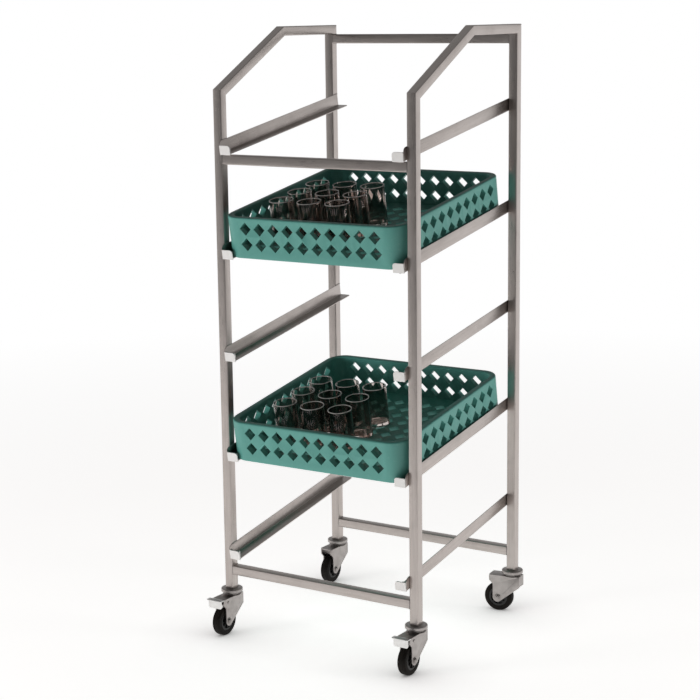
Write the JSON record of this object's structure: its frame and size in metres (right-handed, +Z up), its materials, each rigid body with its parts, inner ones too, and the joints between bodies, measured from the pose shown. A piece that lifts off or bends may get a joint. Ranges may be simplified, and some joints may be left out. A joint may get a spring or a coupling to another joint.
{
  "type": "glass rack dolly",
  "caption": "Upright square tube dolly on swivel casters, with sloping runners and front stops that carry perforated plastic racks of tumblers.",
  "frame": {"origin": "on the floor under the middle of the outline", "axes": "+Z up, +Y to the back, where the runners rise, and +X to the right seen from the front"},
  "size_m": [0.633, 0.634, 1.6],
  "materials": {
    "frame_steel": "satin",
    "runner_steel": "satin",
    "stop_plastic": "smooth",
    "screw_steel": "zinc plated",
    "plug_plastic": "moulded",
    "ring_steel": "turned",
    "caster_steel": "zinc plated",
    "pedal_steel": "bright",
    "hub_plastic": "moulded",
    "tyre_rubber": "matt",
    "rack_plastic": "satin moulded",
    "tumbler_glass": "clear"
  },
  "bodies": {
    "frame": {"front_left_post": "frame_steel", "front_right_post": "frame_steel", "rear_left_post": "frame_steel", "rear_right_post": "frame_steel", "left_slant_tube": "frame_steel", "left_top_tube": "frame_steel", "right_slant_tube": "frame_steel", "right_top_tube": "frame_steel", "upper_front_crossbar": "frame_steel", "lower_front_crossbar": "frame_steel", "upper_rear_crossbar": "frame_steel", "lower_rear_crossbar": "frame_steel", "left_runner_1": "runner_steel", "left_runner_2": "runner_steel", "left_runner_3": "runner_steel", "left_runner_4": "runner_steel", "left_runner_5": "runner_steel", "right_runner_1": "runner_steel", "right_runner_2": "runner_steel", "right_runner_3": "runner_steel", "right_runner_4": "runner_steel", "right_runner_5": "runner_steel", "runner_stops": "stop_plastic", "stop_screws": "screw_steel", "post_plugs": "plug_plastic", "swivel_stems": "screw_steel", "bearing_rings": "ring_steel", "front_left_swivel_head": "caster_steel", "front_right_swivel_head": "caster_steel", "rear_left_swivel_head": "caster_steel", "rear_right_swivel_head": "caster_steel"},
    "front_left_caster": {"front_left_fork": "caster_steel", "front_left_axle_bolt": "screw_steel", "front_left_axle_nut": "screw_steel", "front_left_pedal_pin": "screw_steel"},
    "front_left_wheel": {"front_left_wheel_hub": "hub_plastic", "front_left_tyre": "tyre_rubber"},
    "front_right_caster": {"front_right_fork": "caster_steel", "front_right_axle_bolt": "screw_steel", "front_right_axle_nut": "screw_steel", "front_right_pedal_pin": "screw_steel"},
    "front_right_wheel": {"front_right_wheel_hub": "hub_plastic", "front_right_tyre": "tyre_rubber"},
    "rear_left_caster": {"rear_left_fork": "caster_steel", "rear_left_axle_bolt": "screw_steel", "rear_left_axle_nut": "screw_steel"},
    "rear_left_wheel": {"rear_left_wheel_hub": "hub_plastic", "rear_left_tyre": "tyre_rubber"},
    "rear_right_caster": {"rear_right_fork": "caster_steel", "rear_right_axle_bolt": "screw_steel", "rear_right_axle_nut": "screw_steel"},
    "rear_right_wheel": {"rear_right_wheel_hub": "hub_plastic", "rear_right_tyre": "tyre_rubber"},
    "front_left_pedal": {"front_left_brake_pedal": "pedal_steel"},
    "front_right_pedal": {"front_right_brake_pedal": "pedal_steel"},
    "lower_rack": {"lower_rack": "rack_plastic", "lower_tumblers": "tumbler_glass"},
    "upper_rack": {"upper_rack": "rack_plastic", "upper_tumblers": "tumbler_glass"}
  },
  "joints": [
    {"name": "front_left_swivel", "type": "hinge", "parent": "frame", "child": "front_left_caster", "pos_m": [-0.2875, -0.233, 0.104], "axis": [0, 0, 1], "continuous": true},
    {"name": "front_left_roll", "type": "hinge", "parent": "front_left_caster", "child": "front_left_wheel", "pos_m": [-0.2875, -0.271, 0.04], "axis": [-1, 0, 0], "continuous": true},
    {"name": "front_right_swivel", "type": "hinge", "parent": "frame", "child": "front_right_caster", "pos_m": [0.2875, -0.233, 0.104], "axis": [0, 0, 1], "continuous": true},
    {"name": "front_right_roll", "type": "hinge", "parent": "front_right_caster", "child": "front_right_wheel", "pos_m": [0.2875, -0.271, 0.04], "axis": [-1, 0, 0], "continuous": true},
    {"name": "rear_left_swivel", "type": "hinge", "parent": "frame", "child": "rear_left_caster", "pos_m": [-0.2875, 0.288, 0.104], "axis": [0, 0, 1], "continuous": true},
    {"name": "rear_left_roll", "type": "hinge", "parent": "rear_left_caster", "child": "rear_left_wheel", "pos_m": [-0.2875, 0.25, 0.04], "axis": [-1, 0, 0], "continuous": true},
    {"name": "rear_right_swivel", "type": "hinge", "parent": "frame", "child": "rear_right_caster", "pos_m": [0.2875, 0.288, 0.104], "axis": [0, 0, 1], "continuous": true},
    {"name": "rear_right_roll", "type": "hinge", "parent": "rear_right_caster", "child": "rear_right_wheel", "pos_m": [0.24987, 0.28271, 0.04], "axis": [-0.1392, 0.9903, 0], "continuous": true},
    {"name": "front_left_brake", "type": "hinge", "parent": "front_left_caster", "child": "front_left_pedal", "pos_m": [-0.2875, -0.273, 0.092], "axis": [1, 0, 0], "range_deg": [0, 16]},
    {"name": "front_right_brake", "type": "hinge", "parent": "front_right_caster", "child": "front_right_pedal", "pos_m": [0.2875, -0.273, 0.092], "axis": [1, 0, 0], "range_deg": [0, 16]},
    {"name": "lower_rack_slide", "type": "slide", "parent": "frame", "child": "lower_rack", "axis": [0, 0.9857, 0.1685], "range_m": [0, 0.25]},
    {"name": "upper_rack_slide", "type": "slide", "parent": "frame", "child": "upper_rack", "axis": [0, 0.9857, 0.1685], "range_m": [0, 0.25]}
  ]
}
